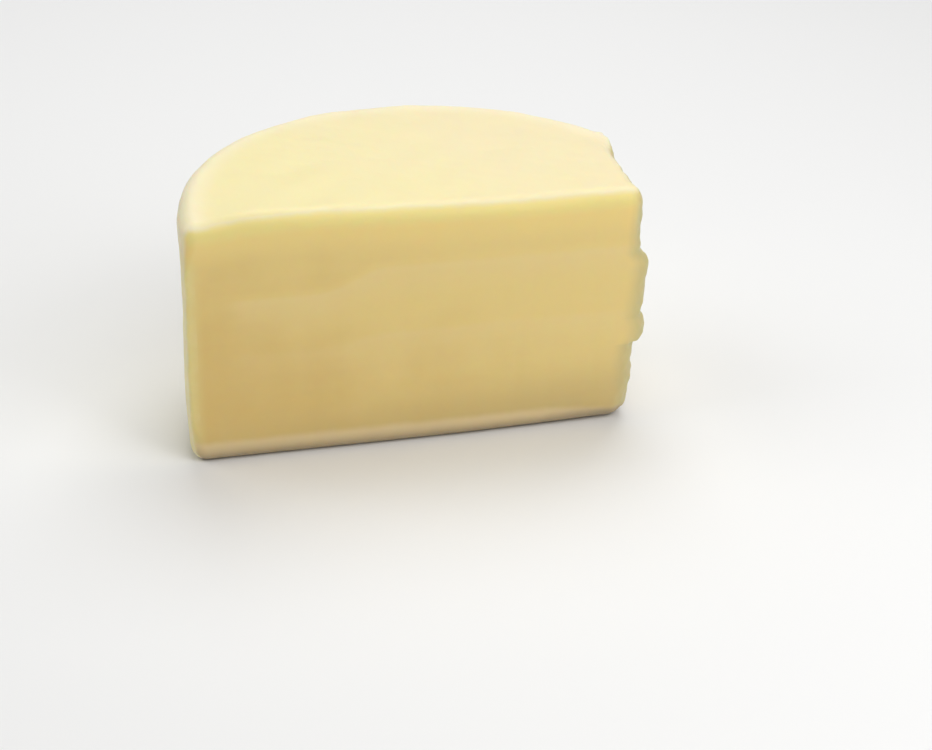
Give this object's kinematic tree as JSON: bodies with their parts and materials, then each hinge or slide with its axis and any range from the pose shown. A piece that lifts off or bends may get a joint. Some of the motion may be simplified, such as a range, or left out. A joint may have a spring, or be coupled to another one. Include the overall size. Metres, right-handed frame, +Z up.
{
  "type": "half wheel of kashkaval cheese",
  "caption": "Half wheel of pale yellow kashkaval cheese with a smooth cut face, a round rind wall and one end sliced off, standing on its flat base as food to serve or slice.",
  "frame": {"origin": "on the base, under the middle of the bounding box", "axes": "+Z up; X along the long cut face, with the sliced end at +X; +Y from the cut face towards the round rind wall"},
  "size_m": [0.182, 0.1026, 0.1013],
  "materials": {
    "cheese": "smooth, slightly waxy, pale butter yellow"
  },
  "bodies": {
    "root": {"half_wheel": "cheese"}
  },
  "joints": []
}
